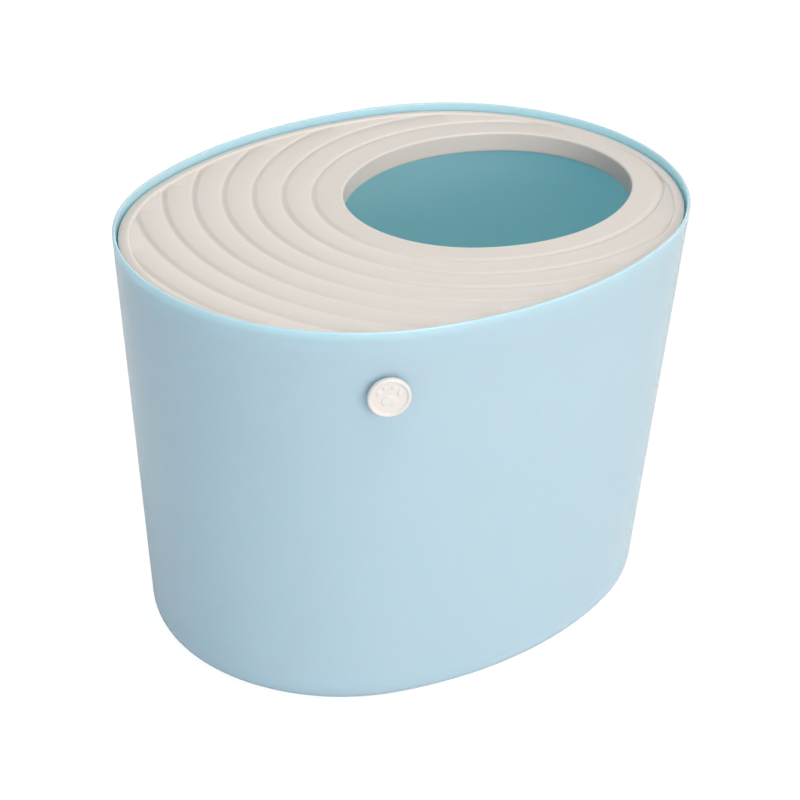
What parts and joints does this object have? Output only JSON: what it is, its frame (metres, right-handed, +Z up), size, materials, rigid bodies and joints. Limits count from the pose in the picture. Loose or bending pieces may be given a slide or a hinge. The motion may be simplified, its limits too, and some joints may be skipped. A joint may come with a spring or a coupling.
{
  "type": "top entry litter box",
  "caption": "Tapered oval litter tub with a drop-in lid whose rippled top has a collared entry hole, and a round scoop hook on its side.",
  "frame": {"origin": "on the floor, under the middle of the box's length and width", "axes": "+X along the box towards its entry hole, +Z up, and the scoop hook on the -X -Y side of the tub"},
  "size_m": [0.52, 0.4098, 0.372],
  "materials": {
    "tub_plastic": "glossy pale blue, smooth moulded",
    "lid_plastic": "satin warm off-white, smooth moulded",
    "hook_plastic": "satin warm white, smooth moulded",
    "foot_rubber": "matt dark grey"
  },
  "bodies": {
    "tub": {"tub": "tub_plastic", "scoop_hook": "hook_plastic", "hook_clip": "hook_plastic", "foot_front_left": "foot_rubber", "foot_front_right": "foot_rubber", "foot_back_left": "foot_rubber", "foot_back_right": "foot_rubber"},
    "lid": {"lid": "lid_plastic"}
  },
  "joints": [
    {"name": "lid_lift", "type": "slide", "parent": "tub", "child": "lid", "axis": [0, 0, 1], "range_m": [0, 0.1]}
  ]
}
